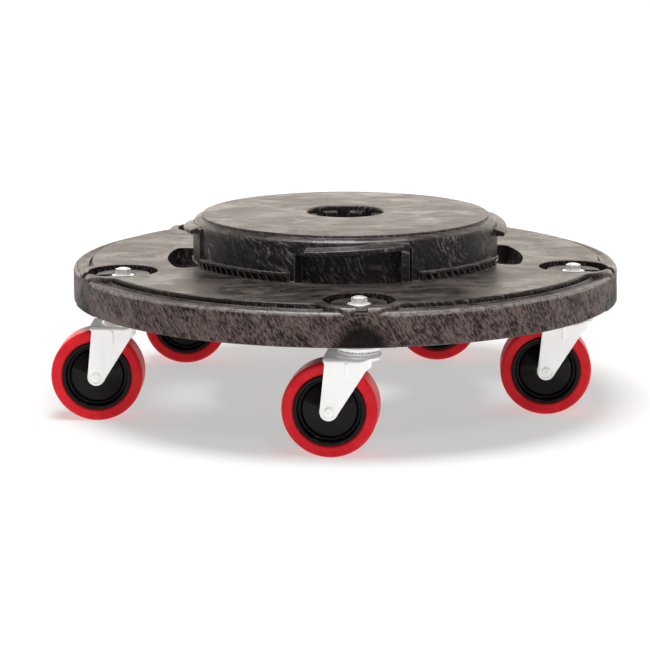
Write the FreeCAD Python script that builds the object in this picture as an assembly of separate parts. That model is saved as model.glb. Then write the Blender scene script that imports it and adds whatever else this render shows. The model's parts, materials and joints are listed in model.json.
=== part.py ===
import FreeCAD, Part
import math
import os

# Round container dolly: a one-piece moulded deck with a raised twist-lock hub, on five
# swivel casters.  Millimetres, +Z up, floor at z = 0, hub axis on the Z axis.  The front
# is -Y.  Deck angles are in degrees from the front, positive towards +X.

# ---- deck and rim ----
RIM_RADIUS = 231.8
RIM_BOTTOM = 92.7
RIM_TOP = 120.6
RIM_ROUND = 4.0
RIM_CREST_RADIUS = 226.6
RIM_LAND_RADIUS = 223.6
RIM_LAND_DIP = 119.5
RIM_LIP_FOOT = 221.2
RIM_LIP_OUTER = 220.0
RIM_LIP_INNER = 218.4
RIM_LIP_TOP = 121.0
WALL = 5.2
GROOVE_FLOOR = 117.8
PLATEAU_RADIUS = 216.0
PLATEAU_TOP = 124.4
PLATEAU_BASE = 115.4
PLATEAU_UNDERSIDE = 118.8
PLATEAU_EDGE_ROUND = 1.6
PLATEAU_RIM_ROUND = 4.5
LOBE_RADIUS = 36.0
FLARE_BLEND = 15.0
PAD_ARCH_RADIUS = 27.0
PAD_ARCH_Z = 90.4
PAD_HEIGHT = 0.5

# ---- hub ----
HUB_RADIUS = 130.0
HUB_SHOULDER_Z = 158.3
HUB_SHOULDER_ROUND = 5.5
CAP_RADIUS = 122.5
CAP_FOOT_Z = 160.0
CAP_EDGE_Z = 162.3
CAP_FLAT_RADIUS = 100.0
HUB_TOP = 163.4
HUB_FOOT_Z = 96.4
WELL_RADIUS = 32.5
WELL_LIP_ROUND = 2.0
WELL_BOTTOM = 110.4
WELL_WALL = 4.6
LOBE_COUNT = 8
LOBE_INNER_RADIUS = 27.5
LOBE_HALF_ANGLE = 11.25
LOBE_TOP = 158.9

# ---- twist lock: lugs, stops, recesses, ratchet strips ----
LUG_ANGLES = (0.0, 90.0, 180.0, 270.0)
LUG_TIP_RADIUS = 138.0
LUG_UNDERSIDE = 149.0
LUG_TIP_Z = 152.5
LUG_ROOT_RADIUS = 128.0
LUG_ROOT_Z = 155.4
LUG_HALF_ANGLE = 17.0
LUG_TILT = 3.03
STOP_RADIUS = 132.4
STOP_ANGLE = 3.0
STOP_TOP = 156.2
RECESS_ANGLES = (0.0, 180.0)
RECESS_HALF_ANGLE = 21.5
RECESS_BACK_RADIUS = 112.0
RECESS_WALL = 3.5
RECESS_WALL_ANGLE = 2.0
RECESS_ROOF_Z = 155.4
RECESS_OUTER_RADIUS = 131.5
HAND_SLOT_ANGLES = (90.0, 270.0)
HAND_SLOT_INNER_RADIUS = 131.0
HAND_SLOT_RADIUS = 152.0
HAND_SLOT_HALF_ANGLE = 20.0
HAND_SLOT_CORNER = 8.0
SLOT_BORDER = 3.5
SLOT_BORDER_Z = 108.4
RATCHET_ANGLES = (45.5, 135.5, 225.5, 315.5)
RATCHET_HALF_ANGLE = 21.0
RATCHET_RADIUS = 136.4
RATCHET_TOP = 132.6
RATCHET_LIP = 1.6
RATCHET_CHANNEL = 0.9
RATCHET_LEDGE_Z = 129.8
TOOTH_RADIUS = 135.0
TOOTH_ROOT_RADIUS = 131.2
TOOTH_COUNT = 13
TOOTH_SPAN = 0.82
TOOTH_LEAN = 3.0
TOOTH_FOOT = 0.4
STRIP_END_ANGLE = 1.5

# ---- ribs under the deck ----
RIB_WIDTH = 3.0
RIB_BOTTOM = 99.4
RIB_TOP = 120.4
RING_RIB_RADIUS = 170.0
BAY_RIB_OFFSETS = (-36.0, -24.0, -12.0, 0.0, 12.0, 24.0)
HUB_RIB_COUNT = 12
HUB_RIB_BOTTOM = 130.4

# ---- caster places and pockets ----
CASTER_NAMES = ("front", "right", "rear_right", "rear_left", "left")
CASTER_HEADINGS = (-9.4, -5.9, -3.1, -3.1, -4.0)
CASTER_CIRCLE = 197.5
POCKET_RADIUS = 29.0
POCKET_WALL = 3.5
POCKET_FLOOR = 108.4
POCKET_FLOOR_THICKNESS = 5.0
BOSS_RADIUS = 22.0
BOSS_TOP = 121.6
BOSS_BOTTOM = 91.4
NUT_SEAT_RADIUS = 10.5
NUT_SEAT_Z = 119.6
NOTCH_WIDTH = 9.5

# ---- caster fastening ----
BOLT_RADIUS = 4.0
BOLT_HOLE_RADIUS = 4.2
BOLT_END = 127.0
BOLT_HEAD_RADIUS = 7.0
BOLT_HEAD_BOTTOM = 76.7
BOLT_HEAD_TOP = 79.9
WASHER_RADIUS = 9.5
WASHER_THICKNESS = 1.6
NUT_ACROSS_FLATS = 11.1
NUT_HEIGHT = 5.0

# ---- swivel bearing ----
CUP_RADIUS = 17.6
CUP_TOP_RADIUS = 16.0
CUP_BOTTOM = 85.5
CUP_SHOULDER = 88.0
BALL_RADIUS = 2.0
BALL_PITCH_RADIUS = 13.5
BALL_Z = 84.7
BALL_COUNT = 16
GROOVE_RADIUS = 2.06
RACEWAY_BASE_RADIUS = 18.2
RACEWAY_RADIUS = 16.0
RACEWAY_TOP = 83.9
RUNNING_CLEARANCE = 0.05

# ---- fork ----
TRAIL = 22.0
CROWN_TOP = 81.0
CROWN_THICKNESS = 2.5
LEG_OUTER = 19.8
LEG_THICKNESS = 3.0
BEND_OUTER_RADIUS = 3.2
BEND_INNER_RADIUS = 1.2
LEG_END_RADIUS = 7.1
CROWN_REAR = -26.5
CROWN_FRONT = 17.5
CROWN_FRONT_CORNER = 15.0
CROWN_REAR_CORNER = 4.0
GUSSET_X = 7.5
GUSSET_RISE = 33.6
HEAD_RECESS_RADIUS = 5.3
HEAD_RECESS_DEPTH = 1.4
NUT_FACE_RADIUS = 6.2
NUT_FACE_DEPTH = 0.6
BEAD_RADIUS = 2.2
BEAD_PROUD = 0.8
BEAD_OFFSET = 14.0
BEAD_FOOT = 29.0
THRUST_WASHER_RADIUS = 9.2
THRUST_WASHER_THICKNESS = 1.0

# ---- wheel and axle ----
WHEEL_RADIUS = 38.1
TREAD_INNER_RADIUS = 28.8
TREAD_HALF_WIDTH = 15.0
SHOULDER_RADIUS = 3.4
CORE_RIM_INNER_RADIUS = 25.4
CORE_RIM_HALF_WIDTH = 15.6
CORE_WEB_RADIUS = 21.6
CORE_WEB_HALF_WIDTH = 11.6
CORE_HUB_RADIUS = 9.5
CORE_HUB_HALF_WIDTH = 16.2
BUSHING_RADIUS = 7.5
BUSHING_HALF_WIDTH = 16.3
SLEEVE_RADIUS = 5.0
SLEEVE_GAP = 0.05
AXLE_RADIUS = 3.15
AXLE_HOLE_RADIUS = 3.2
AXLE_HEAD_RADIUS = 4.0
AXLE_HEAD_HEIGHT = 1.9
AXLE_HEAD_DIMPLE = 1.0
AXLE_NUT_ACROSS_FLATS = 10.0
AXLE_NUT_HEIGHT = 4.5
AXLE_END = 1.2

FULL_TURN = 360.0
UP = FreeCAD.Vector(0, 0, 1)
ORIGIN = FreeCAD.Vector(0, 0, 0)


def point(x, y, z):
    return FreeCAD.Vector(x, y, z)


# ---------------------------------------------------------------- outline helpers
def rounded_face(corners, place):
    """Closed face through corners (a, b) or (a, b, radius); place maps (a, b) to space."""
    count = len(corners)
    starts, ends, mids = [], [], []
    for index, corner in enumerate(corners):
        here = FreeCAD.Vector(corner[0], corner[1], 0)
        radius = corner[2] if len(corner) > 2 else 0.0
        if radius == 0.0:
            starts.append(here)
            ends.append(here)
            mids.append(None)
            continue
        before = corners[index - 1]
        after = corners[(index + 1) % count]
        to_before = (FreeCAD.Vector(before[0], before[1], 0) - here).normalize()
        to_after = (FreeCAD.Vector(after[0], after[1], 0) - here).normalize()
        half = to_before.getAngle(to_after) / 2.0
        reach = radius / math.tan(half)
        bisector = (to_before + to_after).normalize()
        starts.append(here + to_before * reach)
        ends.append(here + to_after * reach)
        mids.append(here + bisector * (radius / math.sin(half) - radius))
    edges = []
    for index in range(count):
        if mids[index] is not None:
            arc_points = [place(p.x, p.y) for p in (starts[index], mids[index], ends[index])]
            edges.append(Part.Arc(*arc_points).toShape())
        line_start = place(ends[index].x, ends[index].y)
        following = starts[(index + 1) % count]
        line_end = place(following.x, following.y)
        if line_start.distanceToPoint(line_end) > 1e-6:
            edges.append(Part.makeLine(line_start, line_end))
    return Part.Face(Part.Wire(edges))


def turned(corners, start=0.0, sweep=FULL_TURN):
    """Solid turned about Z from an (r, z) outline, from deck angle start over sweep."""
    face = rounded_face(corners, lambda r, z: point(0, -r, z))
    face.rotate(ORIGIN, UP, start)
    return face.revolve(ORIGIN, UP, sweep)


def sector(inner, outer, bottom, top, middle, half_angle):
    """Block between two radii and two heights, centred on a deck angle."""
    corners = [(inner, bottom), (outer, bottom), (outer, top), (inner, top)]
    return turned(corners, middle - half_angle, 2 * half_angle)


def ring(inner, outer, bottom, top):
    return turned([(inner, bottom), (outer, bottom), (outer, top), (inner, top)])


def disc(radius, bottom, top, x=0.0, y=0.0):
    return Part.makeCylinder(radius, top - bottom, point(x, y, bottom), UP)


def at_angle(radius, angle):
    """Plan position at a deck angle."""
    turn = math.radians(angle)
    return radius * math.sin(turn), -radius * math.cos(turn)


def radial_rib(angle, inner, outer, width, bottom, top):
    rib = Part.makeBox(width, outer - inner, top - bottom, point(-width / 2, -outer, bottom))
    rib.rotate(ORIGIN, UP, angle)
    return rib


def hexagon(across_flats, height, base, axis):
    """Hexagonal prism with both ends' corners chamfered, standing on base along axis."""
    corner_radius = across_flats / math.sqrt(3.0)
    corners = []
    for index in range(6):
        turn = math.radians(60.0 * index)
        corners.append(point(corner_radius * math.cos(turn), corner_radius * math.sin(turn), 0))
    corners.append(corners[0])
    prism = Part.Face(Part.makePolygon(corners)).extrude(point(0, 0, height))
    bevel = 0.45 * (corner_radius - across_flats / 2.0)
    outside = [(0, 0), (corner_radius - bevel, 0), (corner_radius + bevel, 2 * bevel)]
    outside += [(corner_radius + bevel, height - 2 * bevel), (corner_radius - bevel, height), (0, height)]
    shape = prism.common(turned(outside))
    shape.Placement = FreeCAD.Placement(base, FreeCAD.Rotation(UP, axis))
    return shape


def vertical_edges(shape):
    found = []
    for edge in shape.Edges:
        low = edge.BoundBox
        if low.ZLength > 0.5 and low.XLength < 1e-4 and low.YLength < 1e-4:
            found.append(edge)
    return found


def top_edges(shape, height):
    return [edge for edge in shape.Edges
            if edge.BoundBox.ZLength < 1e-4 and abs(edge.BoundBox.ZMin - height) < 1e-4]


# ---------------------------------------------------------------- deck
def caster_places():
    places = []
    for index, name in enumerate(CASTER_NAMES):
        angle = index * FULL_TURN / len(CASTER_NAMES)
        x, y = at_angle(CASTER_CIRCLE, angle)
        places.append((name, angle, x, y))
    return places


def on_radius(shape, angle):
    """Copy of a shape made at the front, turned to a deck angle."""
    copy = shape.copy()
    copy.rotate(ORIGIN, UP, angle)
    return copy


def deck_shell():
    """Rim skirt, flat top, hub wall, hub cap and centre well in one turned section."""
    inner = RIM_RADIUS - WALL
    hub_inner = HUB_RADIUS - WALL
    well_outer = WELL_RADIUS + WELL_WALL
    core = PLATEAU_RADIUS - 8.0
    corners = [
        (RIM_RADIUS, RIM_BOTTOM, 0.8),
        (RIM_RADIUS, RIM_TOP, RIM_ROUND),
        (RIM_CREST_RADIUS, RIM_TOP, 1.2),
        (RIM_LAND_RADIUS, RIM_LAND_DIP, 1.2),
        (RIM_LIP_FOOT, RIM_LAND_DIP),
        (RIM_LIP_OUTER, RIM_LIP_TOP, 0.7),
        (RIM_LIP_INNER, RIM_LIP_TOP, 0.6),
        (RIM_LIP_INNER, GROOVE_FLOOR),
        (core, GROOVE_FLOOR),
        (core, PLATEAU_TOP),
        (HUB_RADIUS, PLATEAU_TOP, 1.5),
        (HUB_RADIUS, HUB_SHOULDER_Z, HUB_SHOULDER_ROUND),
        (CAP_RADIUS, CAP_FOOT_Z, 0.4),
        (CAP_RADIUS, CAP_EDGE_Z, 1.0),
        (CAP_FLAT_RADIUS, HUB_TOP, 60.0),
        (WELL_RADIUS, HUB_TOP, WELL_LIP_ROUND),
        (WELL_RADIUS, WELL_BOTTOM, 1.0),
        (well_outer, WELL_BOTTOM, 1.0),
        (well_outer, HUB_TOP - WALL, 2.0),
        (CAP_RADIUS - WALL, HUB_TOP - WALL, 1.0),
        (CAP_RADIUS - WALL, CAP_FOOT_Z - WALL),
        (hub_inner, CAP_FOOT_Z - WALL, 2.0),
        (hub_inner, HUB_FOOT_Z),
        (HUB_RADIUS, HUB_FOOT_Z),
        (HUB_RADIUS, PLATEAU_UNDERSIDE, 2.0),
        (core, PLATEAU_UNDERSIDE),
        (core + 5.0, PLATEAU_BASE - 0.8),
        (inner, PLATEAU_BASE - 0.8, 2.0),
        (inner, RIM_BOTTOM, 0.8),
    ]
    return turned(corners)


def plateau(places):
    """Raised top of the deck: a disc with a lobe over each caster that runs out to the rim."""
    shape = ring(HUB_RADIUS + 10.0, PLATEAU_RADIUS, PLATEAU_BASE, PLATEAU_TOP)
    for _, _, x, y in places:
        shape = shape.fuse(disc(LOBE_RADIUS, PLATEAU_BASE, PLATEAU_TOP, x, y))
    shape = shape.removeSplitter()
    outer = [edge for edge in vertical_edges(shape)
             if math.hypot(edge.CenterOfMass.x, edge.CenterOfMass.y) > PLATEAU_RADIUS - 1.0]
    corners = [edge for edge in outer if is_hollow_corner(edge, places)]
    shape = shape.makeFillet(FLARE_BLEND, corners)
    outline = [edge for edge in top_edges(shape, PLATEAU_TOP)
               if math.hypot(edge.CenterOfMass.x, edge.CenterOfMass.y) > HUB_RADIUS + 20.0
               or edge.Length > FULL_TURN * 3.0]
    envelope = turned([(HUB_RADIUS, PLATEAU_BASE), (RIM_RADIUS, PLATEAU_BASE),
                       (RIM_RADIUS, PLATEAU_TOP, PLATEAU_RIM_ROUND), (HUB_RADIUS, PLATEAU_TOP)])
    return shape.makeFillet(PLATEAU_EDGE_ROUND, outline).common(envelope)


def is_hollow_corner(edge, places):
    """True where the disc's edge meets a lobe's edge."""
    x, y = edge.CenterOfMass.x, edge.CenterOfMass.y
    on_disc = abs(math.hypot(x, y) - PLATEAU_RADIUS) < 0.01
    on_lobe = any(abs(math.hypot(x - cx, y - cy) - LOBE_RADIUS) < 0.01
                  for _, _, cx, cy in places)
    return on_disc and on_lobe


def caster_bosses(places):
    """Round wall and floor of each pocket, and the boss that carries the caster."""
    solids = []
    floor_bottom = POCKET_FLOOR - POCKET_FLOOR_THICKNESS
    for _, _, x, y in places:
        solids.append(disc(POCKET_RADIUS + POCKET_WALL, floor_bottom, RIB_TOP, x, y))
        solids.append(disc(BOSS_RADIUS, BOSS_BOTTOM, BOSS_TOP, x, y))
    return solids


def rim_pads(places):
    """Slightly raised arch on the rim's face outside each caster."""
    arch = Part.makeCylinder(PAD_ARCH_RADIUS, WALL, point(0, -RIM_RADIUS + WALL / 2, PAD_ARCH_Z),
                             point(0, -1, 0))
    band = ring(RIM_RADIUS - 1.0, RIM_RADIUS + PAD_HEIGHT, RIM_BOTTOM, PLATEAU_TOP)
    pad = arch.common(band)
    return [on_radius(pad, angle) for _, angle, _, _ in places]


def deck_ribs(places):
    rim_inside = RIM_RADIUS - WALL / 2.0
    solids = [ring(RING_RIB_RADIUS - RIB_WIDTH / 2, RING_RIB_RADIUS + RIB_WIDTH / 2, RIB_BOTTOM, RIB_TOP)]
    for _, angle, _, _ in places:
        for offset in BAY_RIB_OFFSETS:
            solids.append(radial_rib(angle + offset, HUB_RADIUS - 2.0, rim_inside,
                                     RIB_WIDTH, RIB_BOTTOM, PLATEAU_BASE + 1.0))
    for index in range(HUB_RIB_COUNT):
        angle = (index + 0.5) * FULL_TURN / HUB_RIB_COUNT
        solids.append(radial_rib(angle, WELL_RADIUS + 2.0, CAP_RADIUS - WALL + 1.0,
                                 RIB_WIDTH, HUB_RIB_BOTTOM, HUB_TOP - WALL + 1.0))
        solids.append(radial_rib(angle, CAP_RADIUS - WALL - 1.0, HUB_RADIUS - 2.0,
                                 RIB_WIDTH, HUB_RIB_BOTTOM, CAP_FOOT_Z - WALL + 1.0))
    return solids


def well_lobes():
    """Round-topped lobes inside the centre well."""
    outline = [(LOBE_INNER_RADIUS, WELL_BOTTOM + 2.0), (WELL_RADIUS + 1.0, WELL_BOTTOM + 2.0),
               (WELL_RADIUS + 1.0, LOBE_TOP), (LOBE_INNER_RADIUS, LOBE_TOP, 2.0)]
    middles = [(index + 0.5) * FULL_TURN / LOBE_COUNT for index in range(LOBE_COUNT)]
    return [turned(outline, middle - LOBE_HALF_ANGLE, 2 * LOBE_HALF_ANGLE) for middle in middles]


def tilted(shape):
    """Shape made at the front, tipped about the lug's underside so that it rises with x."""
    copy = shape.copy()
    copy.rotate(point(0, 0, LUG_UNDERSIDE), point(0, 1, 0), -LUG_TILT)
    return copy


def lock_solids():
    """Lugs, stop ribs, recess walls, slot borders and ratchet strips."""
    root = HUB_RADIUS - 2.0
    solids = []
    outline = [(LUG_ROOT_RADIUS, LUG_UNDERSIDE), (LUG_TIP_RADIUS, LUG_UNDERSIDE, 1.0),
               (LUG_TIP_RADIUS, LUG_TIP_Z, 1.2), (LUG_ROOT_RADIUS, LUG_ROOT_Z)]
    lug = tilted(turned(outline, -LUG_HALF_ANGLE, 2 * LUG_HALF_ANGLE))
    stop = [(root, PLATEAU_UNDERSIDE + 2.0), (STOP_RADIUS, PLATEAU_UNDERSIDE + 2.0),
            (STOP_RADIUS, STOP_TOP, 1.5), (root, STOP_TOP)]
    for angle in LUG_ANGLES:
        solids.append(on_radius(lug, angle))
        solids.append(turned(stop, angle + LUG_HALF_ANGLE, STOP_ANGLE))
    for angle in RECESS_ANGLES:
        outer_half = RECESS_HALF_ANGLE + RECESS_WALL_ANGLE
        solids.append(sector(RECESS_BACK_RADIUS - RECESS_WALL, root + 1.0, HUB_FOOT_Z + 4.0,
                             RECESS_ROOF_Z, angle, outer_half))
    for angle in HAND_SLOT_ANGLES:
        solids.append(sector(root, HAND_SLOT_RADIUS + SLOT_BORDER, SLOT_BORDER_Z,
                             PLATEAU_UNDERSIDE + 2.0, angle, HAND_SLOT_HALF_ANGLE + 1.5))
    for angle in RATCHET_ANGLES:
        solids.append(ratchet_strip(angle))
    return solids


def ratchet_strip(middle):
    """Arc-shaped strip at the foot of the hub with a row of leaning saw-tooth notches.

    The notches start a little above the seat, so that no tooth leans over the seat's face.
    """
    root = HUB_RADIUS - 2.0
    lip_inside = RATCHET_RADIUS - RATCHET_LIP
    outline = [(root, PLATEAU_UNDERSIDE + 2.0), (TOOTH_RADIUS, PLATEAU_UNDERSIDE + 2.0),
               (TOOTH_RADIUS, RATCHET_LEDGE_Z), (RATCHET_RADIUS, RATCHET_LEDGE_Z + 0.6, 0.3),
               (RATCHET_RADIUS, RATCHET_TOP, 0.6), (lip_inside, RATCHET_TOP, 0.3),
               (lip_inside, RATCHET_TOP - RATCHET_CHANNEL), (root, RATCHET_TOP - RATCHET_CHANNEL)]
    strip = turned(outline, middle - RATCHET_HALF_ANGLE, 2 * RATCHET_HALF_ANGLE)
    pitch = 2 * (RATCHET_HALF_ANGLE - STRIP_END_ANGLE) / TOOTH_COUNT
    lean = math.degrees(TOOTH_LEAN / TOOTH_RADIUS)
    first = middle - pitch * TOOTH_COUNT / 2.0 + lean / 2.0
    outside = TOOTH_RADIUS + 1.0
    foot = PLATEAU_TOP + TOOTH_FOOT
    notches = []
    for index in range(TOOTH_COUNT):
        start = first + index * pitch
        end = start + pitch * TOOTH_SPAN
        corners = []
        for radius, angle in ((outside, start), (TOOTH_ROOT_RADIUS, start),
                              (TOOTH_ROOT_RADIUS, start + 0.25 * pitch), (outside, end)):
            x, y = at_angle(radius, angle)
            corners.append(point(x, y, foot))
        corners.append(corners[0])
        turn = math.radians(start)
        upward = point(-TOOTH_LEAN * math.cos(turn), -TOOTH_LEAN * math.sin(turn),
                       RATCHET_LEDGE_Z - foot)
        notches.append(Part.Face(Part.makePolygon(corners)).extrude(upward))
    return strip.cut(notches)


def deck_cuts(places):
    """Everything taken out of the deck: recesses, slots, pockets, notches and bolt holes."""
    corner = point(-HUB_RADIUS, -HUB_RADIUS - RECESS_WALL, LUG_UNDERSIDE)
    roof = tilted(Part.makeBox(2 * HUB_RADIUS, HUB_RADIUS, RECESS_ROOF_Z, corner))
    recess = sector(RECESS_BACK_RADIUS, RECESS_OUTER_RADIUS, HUB_FOOT_Z - 5.0,
                    RECESS_ROOF_Z, 0.0, RECESS_HALF_ANGLE).cut(roof)
    solids = [on_radius(recess, angle) for angle in RECESS_ANGLES]
    for angle in HAND_SLOT_ANGLES:
        slot = sector(HAND_SLOT_INNER_RADIUS, HAND_SLOT_RADIUS, SLOT_BORDER_Z - 20.0,
                      PLATEAU_TOP + 2.0, angle, HAND_SLOT_HALF_ANGLE)
        solids.append(slot.makeFillet(HAND_SLOT_CORNER, vertical_edges(slot)))
    for _, angle, x, y in places:
        moat = ring(BOSS_RADIUS, POCKET_RADIUS, POCKET_FLOOR, PLATEAU_TOP + 1.0)
        moat.translate(point(x, y, 0))
        solids.append(moat)
        solids.append(disc(BOSS_RADIUS + 1.0, BOSS_TOP, PLATEAU_TOP + 1.0, x, y))
        solids.append(disc(NUT_SEAT_RADIUS, NUT_SEAT_Z, PLATEAU_TOP + 1.0, x, y))
        solids.append(disc(BOLT_HOLE_RADIUS, BOSS_BOTTOM - 1.0, NUT_SEAT_Z + 1.0, x, y))
        solids.append(radial_rib(angle, CASTER_CIRCLE + NUT_SEAT_RADIUS / 2, RIM_RADIUS + 2.0,
                                 NOTCH_WIDTH, NUT_SEAT_Z, PLATEAU_TOP + 1.0))
    return solids


def deck(places):
    shape = deck_shell().fuse(plateau(places)).removeSplitter()
    for group in (caster_bosses(places), deck_ribs(places), rim_pads(places), well_lobes(), lock_solids()):
        shape = shape.fuse(group)
    return shape.cut(deck_cuts(places)).removeSplitter()


# ---------------------------------------------------------------- caster fastening
def caster_bolt():
    head = [(0, BOLT_HEAD_BOTTOM), (BOLT_HEAD_RADIUS, BOLT_HEAD_BOTTOM, 1.6),
            (BOLT_HEAD_RADIUS, BOLT_HEAD_TOP), (BOLT_RADIUS, BOLT_HEAD_TOP),
            (BOLT_RADIUS, BOLT_END, 0.9), (0, BOLT_END)]
    return turned(head)


def caster_washer():
    top = NUT_SEAT_Z + WASHER_THICKNESS
    return turned([(BOLT_HOLE_RADIUS, NUT_SEAT_Z), (WASHER_RADIUS, NUT_SEAT_Z),
                   (WASHER_RADIUS, top, 0.4), (BOLT_HOLE_RADIUS, top)])


def caster_nut():
    base = NUT_SEAT_Z + WASHER_THICKNESS
    nut = hexagon(NUT_ACROSS_FLATS, NUT_HEIGHT, point(0, 0, base), UP)
    return nut.cut(disc(BOLT_RADIUS, base - 1.0, base + NUT_HEIGHT + 1.0))


def upper_cup():
    """Turned cup with the upper half of the ball groove in its lower face."""
    bore = BOLT_RADIUS + RUNNING_CLEARANCE
    cup = turned([(bore, CUP_BOTTOM), (CUP_RADIUS, CUP_BOTTOM, 0.5), (CUP_RADIUS, CUP_SHOULDER, 1.2),
                  (CUP_TOP_RADIUS, BOSS_BOTTOM), (bore, BOSS_BOTTOM)])
    return cup.cut(ball_groove())


def ball_groove():
    return Part.makeTorus(BALL_PITCH_RADIUS, GROOVE_RADIUS, point(0, 0, BALL_Z), UP)


# ---------------------------------------------------------------- caster, about its own bolt
def fork():
    """Bent-sheet fork: a U section trimmed by its side view and its plan."""
    leg_inner = LEG_OUTER - LEG_THICKNESS
    crown_bottom = CROWN_TOP - CROWN_THICKNESS
    leg_bottom = WHEEL_RADIUS - LEG_END_RADIUS - 5.0
    section = [(-LEG_OUTER, leg_bottom), (-LEG_OUTER, CROWN_TOP, BEND_OUTER_RADIUS),
               (LEG_OUTER, CROWN_TOP, BEND_OUTER_RADIUS), (LEG_OUTER, leg_bottom),
               (leg_inner, leg_bottom), (leg_inner, crown_bottom, BEND_INNER_RADIUS),
               (-leg_inner, crown_bottom, BEND_INNER_RADIUS), (-leg_inner, leg_bottom)]
    channel = rounded_face(section, lambda y, z: point(CROWN_REAR - 8.0, y, z))
    channel = channel.extrude(point(CROWN_FRONT - CROWN_REAR + 16.0, 0, 0))
    side = [(-TRAIL - 7.0, WHEEL_RADIUS), (-TRAIL - 3.0, crown_bottom - 1.5, 3.0),
            (CROWN_REAR, crown_bottom), (CROWN_REAR, CROWN_TOP + 1.0),
            (CROWN_FRONT, CROWN_TOP + 1.0), (CROWN_FRONT, crown_bottom),
            (GUSSET_X, WHEEL_RADIUS + GUSSET_RISE, 6.0), (-TRAIL + 6.0, WHEEL_RADIUS - 3.8)]
    profile = rounded_face(side, lambda x, z: point(x, -LEG_OUTER - 1.0, z))
    profile = profile.extrude(point(0, 2 * LEG_OUTER + 2.0, 0))
    across = FreeCAD.Vector(0, 1, 0)
    leg_end = Part.makeCylinder(LEG_END_RADIUS, 2 * LEG_OUTER + 2.0,
                                point(-TRAIL, -LEG_OUTER - 1.0, WHEEL_RADIUS), across)
    plan = [(CROWN_REAR - 4.0, -LEG_OUTER, CROWN_REAR_CORNER),
            (CROWN_FRONT, -LEG_OUTER, CROWN_FRONT_CORNER),
            (CROWN_FRONT, LEG_OUTER, CROWN_FRONT_CORNER),
            (CROWN_REAR - 4.0, LEG_OUTER, CROWN_REAR_CORNER)]
    outline = rounded_face(plan, lambda x, y: point(x, y, 0)).extrude(point(0, 0, CROWN_TOP + 1.0))
    body = channel.common(profile.fuse(leg_end)).common(outline)
    raceway = turned([(BOLT_RADIUS, CROWN_TOP - 1.0), (RACEWAY_BASE_RADIUS, CROWN_TOP - 1.0),
                      (RACEWAY_BASE_RADIUS, CROWN_TOP + 0.4, 0.6), (RACEWAY_RADIUS, RACEWAY_TOP, 0.8),
                      (BOLT_RADIUS, RACEWAY_TOP)])
    body = body.fuse([raceway] + [leg_bead(side_sign) for side_sign in (-1, 1)])
    cavity = disc(THRUST_WASHER_RADIUS + 0.3, crown_bottom - 1.0, CROWN_TOP)
    bore = disc(BOLT_RADIUS + RUNNING_CLEARANCE, crown_bottom - 1.0, RACEWAY_TOP + 1.0)
    axle_hole = Part.makeCylinder(AXLE_HOLE_RADIUS, 2 * LEG_OUTER + 2.0,
                                  point(-TRAIL, -LEG_OUTER - 1.0, WHEEL_RADIUS), across)
    head_seat = point(-TRAIL, -LEG_OUTER + HEAD_RECESS_DEPTH, WHEEL_RADIUS)
    head_recess = Part.makeCylinder(HEAD_RECESS_RADIUS, 3.0, head_seat, across * -1)
    nut_face = Part.makeCylinder(NUT_FACE_RADIUS, 2.0,
                                 point(-TRAIL, LEG_OUTER - NUT_FACE_DEPTH, WHEEL_RADIUS), across)
    return body.cut([cavity, bore, axle_hole, ball_groove(), head_recess, nut_face]).removeSplitter()


def leg_bead(side_sign):
    """Pressed bead that stiffens a leg under the crown."""
    low = WHEEL_RADIUS + BEAD_FOOT
    y = side_sign * (LEG_OUTER - BEAD_RADIUS + BEAD_PROUD)
    bead = Part.makeCylinder(BEAD_RADIUS, CROWN_TOP - 4.0 - low, point(-TRAIL + BEAD_OFFSET, y, low), UP)
    return bead.fuse(Part.makeSphere(BEAD_RADIUS, point(-TRAIL + BEAD_OFFSET, y, low)))


def swivel_balls():
    balls = []
    for index in range(BALL_COUNT):
        x, y = at_angle(BALL_PITCH_RADIUS, index * FULL_TURN / BALL_COUNT)
        balls.append(Part.makeSphere(BALL_RADIUS, point(x, y, BALL_Z)))
    return Part.makeCompound(balls)


def thrust_washer():
    bore = BOLT_RADIUS + RUNNING_CLEARANCE
    bottom = BOLT_HEAD_TOP + RUNNING_CLEARANCE
    return ring(bore, THRUST_WASHER_RADIUS, bottom, bottom + THRUST_WASHER_THICKNESS)


def turned_on_axle(corners):
    """Solid turned about the axle from an (r, y) outline; y runs along the axle."""
    face = rounded_face(corners, lambda r, y: point(-TRAIL, y, WHEEL_RADIUS + r))
    return face.revolve(point(-TRAIL, 0, WHEEL_RADIUS), FreeCAD.Vector(0, 1, 0), FULL_TURN)


def axle_bolt():
    """Round-headed bolt; the head sits in the leg's recess and has a small centre dimple."""
    seat = -(LEG_OUTER - HEAD_RECESS_DEPTH)
    crest = seat - AXLE_HEAD_HEIGHT
    end = LEG_OUTER - NUT_FACE_DEPTH + AXLE_NUT_HEIGHT + AXLE_END
    return turned_on_axle([(0, crest + AXLE_HEAD_DIMPLE / 2), (AXLE_HEAD_DIMPLE, crest),
                           (AXLE_HEAD_RADIUS, crest, 1.5), (AXLE_HEAD_RADIUS, seat), (AXLE_RADIUS, seat),
                           (AXLE_RADIUS, end, 0.7), (0, end)])


def axle_nut():
    start = LEG_OUTER - NUT_FACE_DEPTH
    across = FreeCAD.Vector(0, 1, 0)
    base = point(-TRAIL, start, WHEEL_RADIUS)
    nut = hexagon(AXLE_NUT_ACROSS_FLATS, AXLE_NUT_HEIGHT, base, across)
    return nut.cut(Part.makeCylinder(AXLE_RADIUS, AXLE_NUT_HEIGHT + 2.0, base - across, across))


def axle_sleeve():
    half = LEG_OUTER - LEG_THICKNESS - SLEEVE_GAP
    return turned_on_axle([(AXLE_HOLE_RADIUS, -half), (SLEEVE_RADIUS, -half),
                           (SLEEVE_RADIUS, half), (AXLE_HOLE_RADIUS, half)])


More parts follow.
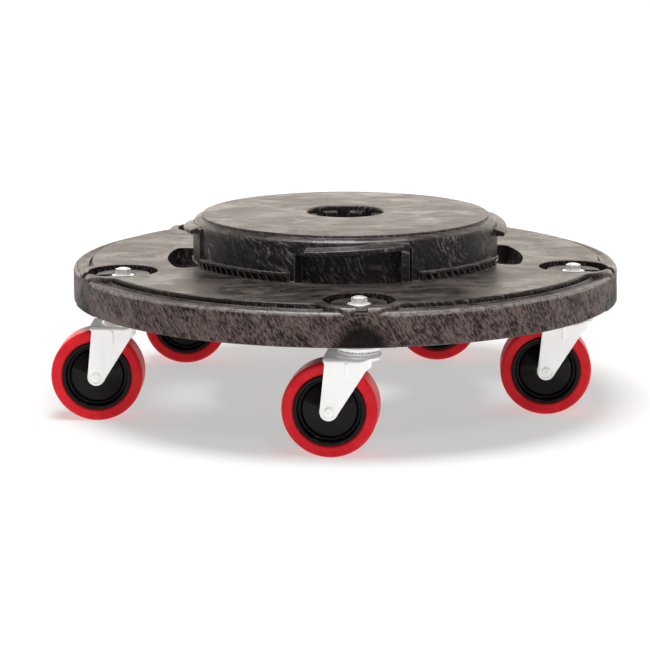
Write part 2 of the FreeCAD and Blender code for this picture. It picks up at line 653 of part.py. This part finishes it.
def wheel_bushing():
    bore = SLEEVE_RADIUS + RUNNING_CLEARANCE
    return turned_on_axle([(bore, -BUSHING_HALF_WIDTH), (BUSHING_RADIUS, -BUSHING_HALF_WIDTH),
                           (BUSHING_RADIUS, BUSHING_HALF_WIDTH), (bore, BUSHING_HALF_WIDTH)])


def wheel_core():
    """Hub, web that slopes outwards from it, a shallow groove and a raised rim."""
    half = [(BUSHING_RADIUS, CORE_HUB_HALF_WIDTH), (CORE_HUB_RADIUS, CORE_HUB_HALF_WIDTH, 1.0),
            (CORE_WEB_RADIUS, CORE_WEB_HALF_WIDTH, 2.0),
            (CORE_WEB_RADIUS + 1.4, CORE_WEB_HALF_WIDTH - 1.2, 1.2),
            (CORE_RIM_INNER_RADIUS - 0.6, CORE_WEB_HALF_WIDTH - 1.2, 1.2),
            (CORE_RIM_INNER_RADIUS, CORE_RIM_HALF_WIDTH, 1.2),
            (TREAD_INNER_RADIUS, CORE_RIM_HALF_WIDTH, 1.0)]
    other = [(corner[0], -corner[1]) + tuple(corner[2:]) for corner in reversed(half)]
    return turned_on_axle(half + other)


def tread():
    half = TREAD_HALF_WIDTH
    return turned_on_axle([(TREAD_INNER_RADIUS, -half + 1.0), (TREAD_INNER_RADIUS + 1.2, -half, 0.8),
                           (WHEEL_RADIUS, -half, SHOULDER_RADIUS), (WHEEL_RADIUS, half, SHOULDER_RADIUS),
                           (TREAD_INNER_RADIUS + 1.2, half, 0.8), (TREAD_INNER_RADIUS, half - 1.0)])


# ---------------------------------------------------------------- put together and write
def placed(shape, x, y, heading=0.0):
    copy = shape.copy()
    copy.rotate(ORIGIN, UP, heading)
    copy.translate(point(x, y, 0))
    return copy


def save(name, shape):
    shape.exportStep("parts/" + name + ".step")


def main():
    os.makedirs("parts", exist_ok=True)
    places = caster_places()
    save("deck", deck(places))
    fixed = {"caster_bolts": caster_bolt(), "caster_washers": caster_washer(),
             "caster_nuts": caster_nut(), "upper_cups": upper_cup()}
    for name, shape in fixed.items():
        save(name, Part.makeCompound([placed(shape, x, y) for _, _, x, y in places]))
    moving = {"fork": fork(), "swivel_balls": swivel_balls(), "thrust_washer": thrust_washer(),
              "axle_bolt": axle_bolt(), "axle_nut": axle_nut(), "axle_sleeve": axle_sleeve(),
              "wheel_bushing": wheel_bushing(), "wheel_core": wheel_core(), "tread": tread()}
    for (caster, _, x, y), heading in zip(places, CASTER_HEADINGS):
        for name, shape in moving.items():
            save(caster + "_" + name, placed(shape, x, y, heading))


main()
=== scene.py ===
import json
import math

import bpy
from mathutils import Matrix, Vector


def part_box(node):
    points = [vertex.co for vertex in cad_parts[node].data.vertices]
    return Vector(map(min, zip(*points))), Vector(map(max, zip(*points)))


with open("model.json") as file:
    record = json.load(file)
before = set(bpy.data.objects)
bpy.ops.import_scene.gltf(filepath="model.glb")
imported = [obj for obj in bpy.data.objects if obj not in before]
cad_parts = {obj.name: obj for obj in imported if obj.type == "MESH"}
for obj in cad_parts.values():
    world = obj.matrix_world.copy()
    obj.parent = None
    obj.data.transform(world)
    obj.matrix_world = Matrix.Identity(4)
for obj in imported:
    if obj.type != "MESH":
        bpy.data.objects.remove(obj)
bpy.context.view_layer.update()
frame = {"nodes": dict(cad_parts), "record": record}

NODES = frame["nodes"]
SLOT_OF = {part["node"]: part["material_slot"] for part in frame["record"]["subparts"]}

# sizes read from the frame, in metres
RIM_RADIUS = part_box("deck")[1].x

# camera: it looks at a point on the hub axis
CAMERA_AZIMUTH = math.radians(-3.13)
CAMERA_ELEVATION = math.radians(10.995)
CAMERA_DISTANCE = 2.1285
CAMERA_LENS = 136.95
CAMERA_SENSOR = 36.0
CAMERA_TARGET = Vector((0.0, 0.0, 0.0824))
CAMERA_SHIFT = (-0.0312, -0.0322)

# stage
FLOOR_SIZE = 60.0
FLOOR_GLOW = 0.465
FLOOR_GLOW_FAR = 0.85
WORLD_BACK = 2.0
WORLD_FRONT = 0.50
WORLD_HIGH = 0.12

# painted shade: a dark arch painted on the rim's face outside each caster
CASTER_COUNT = 5
SHADED_ARCH_RADIUS = 0.027
SHADED_ARCH_Z = 0.0904

# heights that separate parts of one material, and what changes there
HUB_TOP_LOW = 0.145
HUB_TOP_HIGH = 0.155
HUB_TOP_GLOSS = 1.6
DECK_SHADE_LOW = 0.110
DECK_SHADE_HIGH = 0.118
ZINC_GLOW = 0.13


# ---------------------------------------------------------------- node helpers
class Shader:
    """A material's node tree, built one node at a time."""

    def __init__(self, name, library=bpy.data.materials, output="Material"):
        self.material = library.new(name)
        self.material.use_nodes = True
        self.tree = self.material.node_tree
        self.tree.nodes.clear()
        self.output = self.tree.nodes.new("ShaderNodeOutput" + output)

    def add(self, kind, **inputs):
        """New node; inputs are numbers, colours or other nodes' sockets, by input name."""
        node = self.tree.nodes.new("ShaderNode" + kind)
        for name, value in inputs.items():
            self.put(node.inputs[name.replace("_", " ")], value)
        return node

    def put(self, socket, value):
        if isinstance(value, bpy.types.NodeSocket):
            self.tree.links.new(value, socket)
        else:
            socket.default_value = value

    def position(self):
        return self.add("TexCoord").outputs["Object"]

    def math(self, operation, first, second=0.0, clamp=False):
        node = self.tree.nodes.new("ShaderNodeMath")
        node.operation = operation
        node.use_clamp = clamp
        self.put(node.inputs[0], first)
        self.put(node.inputs[1], second)
        return node.outputs[0]

    def vector(self, x, y, z):
        return self.add("CombineXYZ", X=x, Y=y, Z=z).outputs[0]

    def split(self, vector):
        return self.add("SeparateXYZ", Vector=vector).outputs

    def noise(self, vector, scale, detail=4.0, roughness=0.5, distortion=0.0):
        node = self.add("TexNoise", Vector=vector, Scale=scale, Detail=detail,
                        Roughness=roughness, Distortion=distortion)
        return node.outputs["Fac"]

    def ramp(self, value, low, high, out_low=0.0, out_high=1.0):
        """Clamped, smooth map of value from low..high to out_low..out_high."""
        node = self.tree.nodes.new("ShaderNodeMapRange")
        node.interpolation_type = "SMOOTHSTEP"
        self.put(node.inputs["Value"], value)
        self.put(node.inputs["From Min"], low)
        self.put(node.inputs["From Max"], high)
        self.put(node.inputs["To Min"], out_low)
        self.put(node.inputs["To Max"], out_high)
        return node.outputs["Result"]

    def mix(self, factor, first, second):
        node = self.tree.nodes.new("ShaderNodeMix")
        node.data_type = "RGBA"
        self.put(node.inputs["Factor"], factor)
        self.put(node.inputs[6], first)
        self.put(node.inputs[7], second)
        return node.outputs[2]

    def bump(self, height, distance, strength=1.0, normal=None):
        node = self.add("Bump", Height=height, Distance=distance, Strength=strength)
        if normal is not None:
            self.put(node.inputs["Normal"], normal)
        return node.outputs["Normal"]

    def rounded_normal(self, radius):
        node = self.add("Bevel", Radius=radius)
        node.samples = 4
        return node.outputs["Normal"]

    def side_facing(self):
        """1 on upright faces, 0 on flat ones."""
        normal = self.tree.nodes.new("ShaderNodeNewGeometry").outputs["True Normal"]
        return self.ramp(self.math("ABSOLUTE", self.split(normal)[2]), 0.75, 0.45)

    def round_over(self):
        """1 where a face turns from flat to upright, 0 on flat and on upright faces."""
        normal = self.tree.nodes.new("ShaderNodeNewGeometry").outputs["Normal"]
        tilt = self.split(normal)[2]
        return self.math("MULTIPLY", self.ramp(tilt, 0.15, 0.45), self.ramp(tilt, 0.97, 0.80))

    def edge_wear_and_highlight(self, radius):
        """0 on flat areas, towards 1 along edges."""
        true_normal = self.tree.nodes.new("ShaderNodeNewGeometry").outputs["Normal"]
        node = self.tree.nodes.new("ShaderNodeVectorMath")
        node.operation = "DOT_PRODUCT"
        self.put(node.inputs[0], true_normal)
        self.put(node.inputs[1], self.rounded_normal(radius))
        return self.ramp(node.outputs["Value"], 0.995, 0.80)

    def surface(self, **inputs):
        shader = self.add("BsdfPrincipled", **inputs)
        self.tree.links.new(shader.outputs[0], self.output.inputs["Surface"])
        return self.material


def colour(red, green, blue):
    return (red, green, blue, 1.0)


# ---------------------------------------------------------------- materials
def deck_plastic():
    """Moulded structural-foam plastic: clouds on the flats, feathered streaks on the sides, a
    painted-shade dark arch on the rim outside each caster, and painted highlights mixed with edge wear
    along the rim's crest and sharp edges.
    """
    s = Shader("deck_black")
    place = s.position()
    x, y, z = s.split(place)
    radius = s.math("SQRT", s.math("ADD", s.math("MULTIPLY", x, x), s.math("MULTIPLY", y, y)))
    angle = s.math("ARCTAN2", x, s.math("MULTIPLY", y, -1.0))
    around = s.math("MULTIPLY", angle, radius)
    side = s.side_facing()
    flat = s.math("SUBTRACT", 1.0, side)
    on_rim = s.math("MULTIPLY", side, s.ramp(radius, RIM_RADIUS - 0.012, RIM_RADIUS - 0.004))

    swirl = s.noise(s.vector(s.math("MULTIPLY", x, 0.55), y, z), 52.0, 8.0, 0.74, 0.7)
    cloud = s.noise(place, 8.0, 3.0, 0.5, 0.6)
    grain = s.noise(place, 1500.0, 2.0, 0.5)
    fleck = s.noise(place, 520.0, 4.0, 0.7)
    drift = s.math("MULTIPLY", s.noise(place, 22.0, 2.0, 0.5), 0.05)
    slanted = s.math("ADD", s.math("ADD", around, s.math("MULTIPLY", z, 0.7)), drift)
    feathers = s.noise(s.vector(slanted, s.math("MULTIPLY", z, 0.34), radius), 430.0, 7.0, 0.76, 0.5)
    feather_patch = s.ramp(s.noise(place, 30.0, 2.0, 0.5, 0.5), 0.36, 0.60, 0.25, 1.0)
    leaning = s.math("ADD", around, s.math("MULTIPLY", z, 0.55))
    upright = s.vector(leaning, s.math("MULTIPLY", z, 0.42), radius)
    mottle = s.noise(upright, 560.0, 6.0, 0.72, 0.3)
    patches = s.noise(upright, 90.0, 3.0, 0.55)

    base = s.mix(s.ramp(cloud, 0.3, 0.7), colour(0.0085, 0.0065, 0.0070), colour(0.015, 0.012, 0.0125))
    speckled = s.math("ADD", swirl, s.math("MULTIPLY", fleck, 0.35))
    flat_tone = s.math("MULTIPLY", flat, s.ramp(speckled, 0.52, 0.86))
    base = s.mix(s.math("MULTIPLY", flat_tone, 0.8), base, colour(0.125, 0.102, 0.088))
    feather_tone = s.math("MULTIPLY", side, s.ramp(feathers, 0.49, 0.65))
    feather_tone = s.math("MULTIPLY", feather_tone, feather_patch)
    base = s.mix(feather_tone, base, colour(0.24, 0.205, 0.200))
    rim_tone = s.math("ADD", s.ramp(mottle, 0.40, 0.60), s.ramp(patches, 0.35, 0.65, -0.25, 0.25))
    rim_colour = s.mix(rim_tone, colour(0.009, 0.005, 0.005), colour(0.165, 0.118, 0.108))
    # painted shade: inside each caster's arch the rim face is painted near-black
    arch_shade = painted_arch_shade(s, angle, radius, z)
    rim_colour = s.mix(s.math("MULTIPLY", arch_shade, 0.92), rim_colour, colour(0.006, 0.004, 0.004))
    base = s.mix(on_rim, base, rim_colour)
    # painted highlight, partly real edge wear: sharp edges and the rim's crest rounding are painted
    # lighter, broken up by speckle; no crest highlight inside the arches
    speckle = s.ramp(s.noise(place, 300.0, 4.0, 0.7), 0.38, 0.62, 0.3, 1.0)
    near_rim = s.ramp(radius, RIM_RADIUS - 0.006, RIM_RADIUS - 0.003)
    crest_highlight = s.math("MULTIPLY", s.round_over(), near_rim)
    crest_highlight = s.math("MULTIPLY", crest_highlight, s.math("SUBTRACT", 1.0, arch_shade))
    wear_and_highlight = s.math("MULTIPLY", s.math("MAXIMUM", s.edge_wear_and_highlight(0.0014), crest_highlight), speckle)
    base = s.mix(s.math("MULTIPLY", wear_and_highlight, 0.75), base, colour(0.32, 0.29, 0.28))

    rough = s.ramp(swirl, 0.36, 0.64, 0.28, 0.50)
    rim_rough = s.math("SUBTRACT", 0.14, s.math("MULTIPLY", arch_shade, 0.12))
    rough = s.math("ADD", rough, s.math("MULTIPLY", on_rim, rim_rough))
    side_shine = s.math("MULTIPLY", side, s.math("SUBTRACT", 0.17, s.math("MULTIPLY", arch_shade, 0.12)))
    raised = s.ramp(z, HUB_TOP_LOW, HUB_TOP_HIGH, 1.0, HUB_TOP_GLOSS)
    fine = s.ramp(fleck, 0.32, 0.68, -0.18, 0.18)
    flat_shine = s.math("MULTIPLY", s.math("ADD", s.ramp(swirl, 0.34, 0.66, 0.40, 0.86), fine), raised)
    shine = s.math("ADD", s.math("MULTIPLY", flat, flat_shine), side_shine)
    height = s.math("ADD", s.math("MULTIPLY", grain, 0.25), s.math("MULTIPLY", swirl, 1.6))
    height = s.math("ADD", height, s.math("MULTIPLY", fleck, 0.35))
    height = s.math("ADD", height, s.math("MULTIPLY", s.math("MULTIPLY", mottle, on_rim), 1.8))
    height = s.math("ADD", height, s.math("MULTIPLY", s.math("MULTIPLY", feathers, side), 1.2))
    normal = s.bump(height, 0.0004, 0.5, s.rounded_normal(0.0009))
    return s.surface(Base_Color=base, Roughness=rough, Specular_IOR_Level=shine, Normal=normal)


def painted_arch_shade(s, angle, radius, z):
    """Mask of painted shade: 1 inside the dark arch painted on the rim's face outside each caster."""
    pitch = 2.0 * math.pi / CASTER_COUNT
    turned = s.math("MODULO", s.math("ADD", angle, 2.0 * math.pi + pitch / 2.0), pitch)
    across = s.math("MULTIPLY", s.math("SUBTRACT", turned, pitch / 2.0), radius)
    above = s.math("SUBTRACT", z, SHADED_ARCH_Z)
    squares = s.math("ADD", s.math("MULTIPLY", across, across), s.math("MULTIPLY", above, above))
    reach = s.math("SQRT", squares)
    return s.ramp(reach, SHADED_ARCH_RADIUS, SHADED_ARCH_RADIUS * 0.55)


def zinc_plate():
    """Bright zinc plating with upright rolling marks; it glows a little in the deck's shade."""
    s = Shader("zinc")
    place = s.position()
    patches = s.noise(place, 90.0, 4.0, 0.6, 0.8)
    x, y, z = s.split(place)
    marks = s.noise(s.vector(x, y, s.math("MULTIPLY", z, 0.08)), 420.0, 3.0, 0.6)
    base = s.mix(s.ramp(patches, 0.3, 0.7), colour(0.91, 0.90, 0.885), colour(0.97, 0.965, 0.95))
    base = s.mix(s.ramp(marks, 0.50, 0.72, 0.0, 0.30), base, colour(0.74, 0.73, 0.71))
    rough = s.ramp(marks, 0.3, 0.7, 0.30, 0.38)
    normal = s.bump(marks, 0.0002, 0.08, s.rounded_normal(0.0006))
    glow = s.ramp(z, DECK_SHADE_LOW, DECK_SHADE_HIGH, ZINC_GLOW, 0.0)
    return s.surface(Base_Color=base, Metallic=0.40, Roughness=rough, Normal=normal,
                     Emission_Color=colour(1.0, 0.99, 0.97), Emission_Strength=glow)


def bearing_steel():
    s = Shader("bearing_steel")
    marks = s.noise(s.position(), 1200.0, 2.0, 0.5)
    base = s.mix(s.ramp(marks, 0.3, 0.7), colour(0.52, 0.52, 0.54), colour(0.66, 0.66, 0.68))
    normal = s.bump(marks, 0.00005, 0.3)
    rough = s.ramp(marks, 0.3, 0.7, 0.14, 0.22)
    return s.surface(Base_Color=base, Metallic=1.0, Roughness=rough, Normal=normal)


def white_nylon():
    s = Shader("white_nylon")
    cloud = s.noise(s.position(), 240.0, 3.0, 0.5)
    base = s.mix(s.ramp(cloud, 0.3, 0.7), colour(0.72, 0.70, 0.62), colour(0.82, 0.80, 0.74))
    return s.surface(Base_Color=base, Roughness=s.ramp(cloud, 0.3, 0.7, 0.32, 0.45),
                     Normal=s.bump(cloud, 0.0001, 0.3))


def wheel_plastic():
    """Glossy black moulding with faint flow marks."""
    s = Shader("wheel_black")
    place = s.position()
    flow = s.noise(place, 120.0, 4.0, 0.55, 1.2)
    grain = s.noise(place, 1800.0, 2.0, 0.5)
    base = s.mix(s.ramp(flow, 0.35, 0.7), colour(0.0030, 0.0020, 0.0020), colour(0.0055, 0.0040, 0.0040))
    rough = s.ramp(flow, 0.3, 0.75, 0.10, 0.15)
    normal = s.bump(s.math("ADD", flow, s.math("MULTIPLY", grain, 0.2)), 0.0002, 0.25,
                    s.rounded_normal(0.0008))
    return s.surface(Base_Color=base, Roughness=rough, Specular_IOR_Level=0.17, Normal=normal)


def tread_rubber():
    """Red polyurethane: even colour, darker scuffs, a fine moulded skin."""
    s = Shader("tread_red")
    place = s.position()
    cloud = s.noise(place, 60.0, 4.0, 0.6, 0.5)
    grain = s.noise(place, 1400.0, 3.0, 0.55)
    scuffs = s.noise(place, 220.0, 5.0, 0.7, 1.0)
    base = s.mix(s.ramp(cloud, 0.3, 0.7), colour(0.72, 0.014, 0.024), colour(0.82, 0.026, 0.034))
    base = s.mix(s.ramp(scuffs, 0.60, 0.78, 0.0, 0.35), base, colour(0.46, 0.008, 0.014))
    rough = s.ramp(scuffs, 0.35, 0.7, 0.30, 0.42)
    normal = s.bump(s.math("ADD", grain, s.math("MULTIPLY", scuffs, 0.5)), 0.0002, 0.2)
    return s.surface(Base_Color=base, Roughness=rough, Normal=normal, Specular_IOR_Level=0.10)


def floor_paint():
    """Pale floor with painted light: it glows, dimmer near the object (a painted pool of shade around
    it) and brighter further away.
    """
    s = Shader("floor_pale")
    place = s.position()
    x, y, _ = s.split(place)
    away = s.math("SQRT", s.math("ADD", s.math("MULTIPLY", x, x), s.math("MULTIPLY", y, y)))
    cloud = s.noise(place, 3.0, 2.0, 0.5)
    base = s.mix(s.ramp(cloud, 0.3, 0.7), colour(0.50, 0.50, 0.50), colour(0.51, 0.51, 0.51))
    # painted light: the floor's own glow, weaker near the object so a painted pool of shade surrounds it
    glow = s.ramp(away, 0.35, 1.3, FLOOR_GLOW, FLOOR_GLOW_FAR)
    return s.surface(Base_Color=base, Roughness=0.9, Specular_IOR_Level=0.0,
                     Emission_Color=colour(1.0, 1.0, 1.0), Emission_Strength=glow)


def dress_frame():
    """Gives every CAD node the material of its slot."""
    makers = {"deck_black": deck_plastic, "zinc": zinc_plate, "bearing_steel": bearing_steel,
              "white_nylon": white_nylon, "wheel_black": wheel_plastic, "tread_red": tread_rubber}
    made = {name: maker() for name, maker in makers.items()}
    for name, obj in NODES.items():
        obj.data.materials.clear()
        obj.data.materials.append(made[SLOT_OF[name]])


# ---------------------------------------------------------------- stage
def floor():
    mesh = bpy.data.meshes.new("floor")
    half = FLOOR_SIZE / 2
    corners = [(-half, -half, 0), (half, -half, 0), (half, half, 0), (-half, half, 0)]
    mesh.from_pydata(corners, [], [(0, 1, 2, 3)])
    obj = bpy.data.objects.new("floor", mesh)
    bpy.context.scene.collection.objects.link(obj)
    obj.data.materials.append(floor_paint())


def area_light(name, place, aim, size, power):
    lamp = bpy.data.lights.new(name, "AREA")
    lamp.shape = "DISK"
    lamp.size = size
    lamp.energy = power
    obj = bpy.data.objects.new(name, lamp)
    obj.location = place
    obj.rotation_mode = "QUATERNION"
    obj.rotation_quaternion = (Vector(aim) - Vector(place)).to_track_quat("-Z", "Y")
    bpy.context.scene.collection.objects.link(obj)


def world_light():
    """Bright warm backdrop low behind, a dimmer room in front, lighter on the right, dark above."""
    s = Shader("studio", bpy.data.worlds, "World")
    x, y, z = s.split(s.add("TexCoord").outputs["Generated"])
    low = s.ramp(z, 0.46, 0.28, WORLD_HIGH, 1.0)
    front = s.ramp(x, -0.5, 0.7, WORLD_FRONT * 0.6, WORLD_FRONT * 1.6)
    behind = s.ramp(y, -0.35, 0.45, front, WORLD_BACK)
    tint = s.mix(s.ramp(y, -0.2, 0.4), colour(1.0, 1.0, 1.0), colour(1.0, 0.92, 0.82))
    light = s.add("Background", Color=tint, Strength=s.math("MULTIPLY", low, behind))
    s.tree.links.new(light.outputs[0], s.output.inputs["Surface"])
    bpy.context.scene.world = s.material


def camera():
    lens = bpy.data.cameras.new("camera")
    lens.sensor_width = CAMERA_SENSOR
    lens.lens = CAMERA_LENS
    lens.shift_x, lens.shift_y = CAMERA_SHIFT
    lens.clip_start, lens.clip_end = 0.05, 60.0
    obj = bpy.data.objects.new("camera", lens)
    level = math.cos(CAMERA_ELEVATION)
    back = Vector((math.sin(CAMERA_AZIMUTH) * level, -math.cos(CAMERA_AZIMUTH) * level,
                   math.sin(CAMERA_ELEVATION)))
    obj.location = CAMERA_TARGET + back * CAMERA_DISTANCE
    obj.rotation_mode = "QUATERNION"
    obj.rotation_quaternion = (-back).to_track_quat("-Z", "Y")
    bpy.context.scene.collection.objects.link(obj)
    bpy.context.scene.camera = obj


def stage():
    floor()
    world_light()
    area_light("overhead", (-0.1, -0.40, 2.5), (0, 0, 0.1), 1.3, 58.0)
    area_light("front", (0.5, -1.9, 1.9), (0, 0, 0.12), 0.5, 7.0)
    camera()
    settings = bpy.context.scene.view_settings
    settings.view_transform = "Standard"
    settings.look = "None"


dress_frame()
stage()
